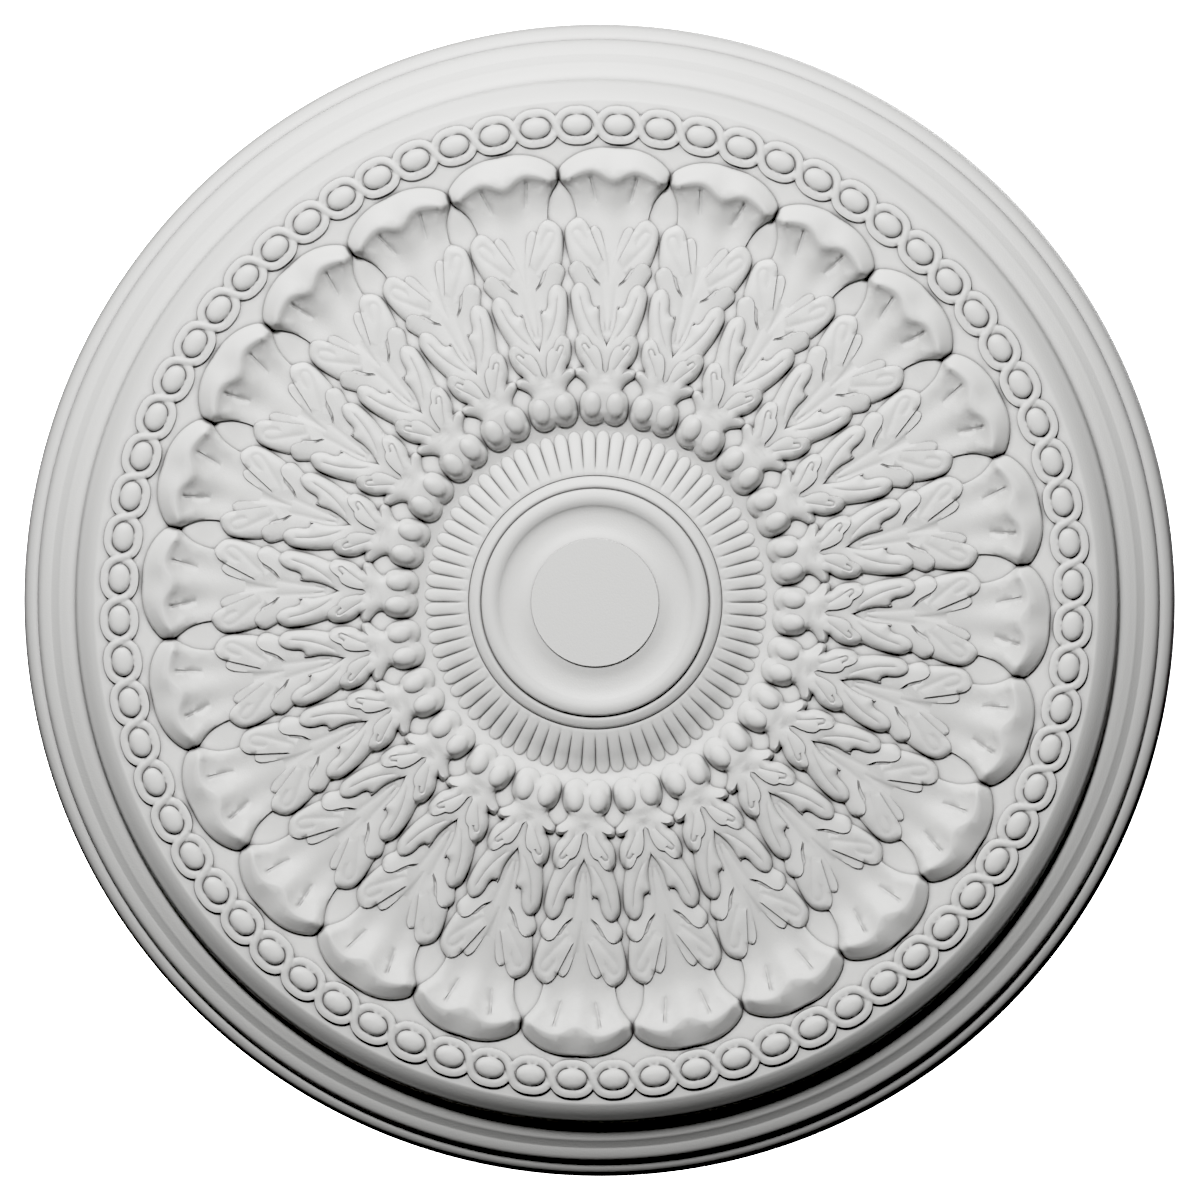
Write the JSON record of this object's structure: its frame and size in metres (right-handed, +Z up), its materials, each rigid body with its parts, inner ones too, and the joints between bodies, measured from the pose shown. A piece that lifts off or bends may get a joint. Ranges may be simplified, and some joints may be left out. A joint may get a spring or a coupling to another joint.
{
  "type": "ceiling rose",
  "caption": "Round moulded ceiling rose with a stepped rim, a guilloche of oval beads, scrolled petals, acanthus leaves and a fluted central boss, fixed by its flat back.",
  "frame": {"origin": "centre of the flat back, where the rose is fixed", "axes": "+Y out of the flat back, towards the surface that carries it; the carved face looks along -Y; +Z up the face as the picture shows it. On a ceiling +Y is turned up."},
  "size_m": [0.6994, 0.054, 0.6994],
  "materials": {
    "white_primer": "matt white primer on moulded urethane foam"
  },
  "bodies": {
    "root": {"ceiling_rose": "white_primer"}
  },
  "joints": []
}
